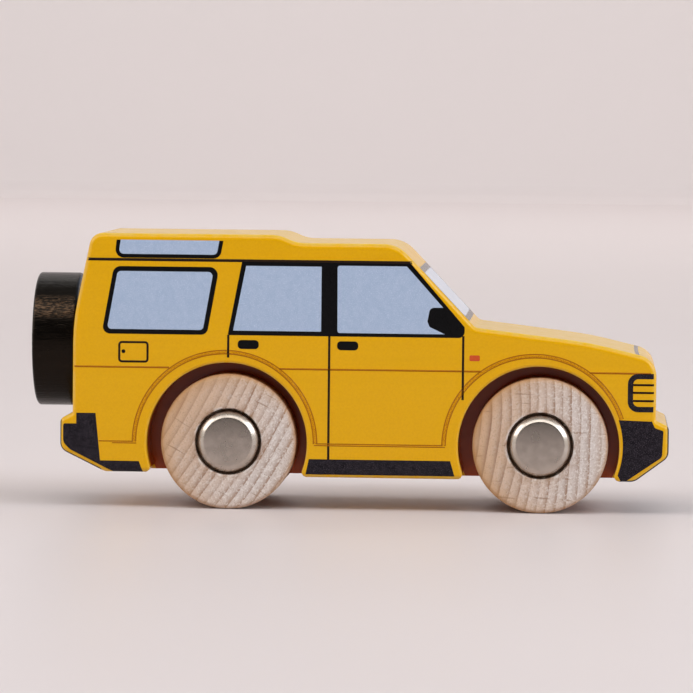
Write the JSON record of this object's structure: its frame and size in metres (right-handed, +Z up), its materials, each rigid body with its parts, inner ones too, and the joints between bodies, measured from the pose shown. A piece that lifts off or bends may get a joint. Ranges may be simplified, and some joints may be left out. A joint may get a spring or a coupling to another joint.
{
  "type": "wooden toy car",
  "caption": "Painted wooden toy off-road car: one rounded block with wheel pockets, free-rolling wooden wheels on steel axles with pressed caps, and a round spare wheel on the tail.",
  "frame": {"origin": "on the ground the wheels stand on, under the middle of the car's length and width", "axes": "+X to the front of the car, +Y to the car's left, +Z up"},
  "size_m": [0.1184, 0.0354, 0.0508],
  "materials": {
    "yellow_paint": "solid wood, sprayed yellow, satin",
    "black_paint": "solid wood, painted black, grain showing through, satin",
    "beech": "turned bare wood, matt",
    "steel": "bright drawn steel",
    "cap_steel": "pressed and nickel plated, satin"
  },
  "bodies": {
    "car_body": {"body_block": "yellow_paint", "spare_wheel": "black_paint", "spare_wheel_dowel": "beech"},
    "front_axle_set": {"front_axle": "steel", "hub_cap_front_left": "cap_steel", "hub_cap_front_right": "cap_steel", "star_washer_front_left": "steel", "star_washer_front_right": "steel"},
    "rear_axle_set": {"rear_axle": "steel", "hub_cap_rear_left": "cap_steel", "hub_cap_rear_right": "cap_steel", "star_washer_rear_left": "steel", "star_washer_rear_right": "steel"},
    "front_left_wheel": {"wheel_front_left": "beech"},
    "front_right_wheel": {"wheel_front_right": "beech"},
    "rear_left_wheel": {"wheel_rear_left": "beech"},
    "rear_right_wheel": {"wheel_rear_right": "beech"}
  },
  "joints": [
    {"name": "front_axle_turn", "type": "hinge", "parent": "car_body", "child": "front_axle_set", "pos_m": [0.03558, 0, 0.0125], "axis": [0, 1, 0], "continuous": true},
    {"name": "rear_axle_turn", "type": "hinge", "parent": "car_body", "child": "rear_axle_set", "pos_m": [-0.02202, 0, 0.0125], "axis": [0, 1, 0], "continuous": true},
    {"name": "front_left_wheel_turn", "type": "hinge", "parent": "front_axle_set", "child": "front_left_wheel", "pos_m": [0.03558, 0.01255, 0.0125], "axis": [0, 1, 0], "continuous": true},
    {"name": "front_right_wheel_turn", "type": "hinge", "parent": "front_axle_set", "child": "front_right_wheel", "pos_m": [0.03558, -0.01255, 0.0125], "axis": [0, 1, 0], "continuous": true},
    {"name": "rear_left_wheel_turn", "type": "hinge", "parent": "rear_axle_set", "child": "rear_left_wheel", "pos_m": [-0.02202, 0.01255, 0.0125], "axis": [0, 1, 0], "continuous": true},
    {"name": "rear_right_wheel_turn", "type": "hinge", "parent": "rear_axle_set", "child": "rear_right_wheel", "pos_m": [-0.02202, -0.01255, 0.0125], "axis": [0, 1, 0], "continuous": true}
  ]
}
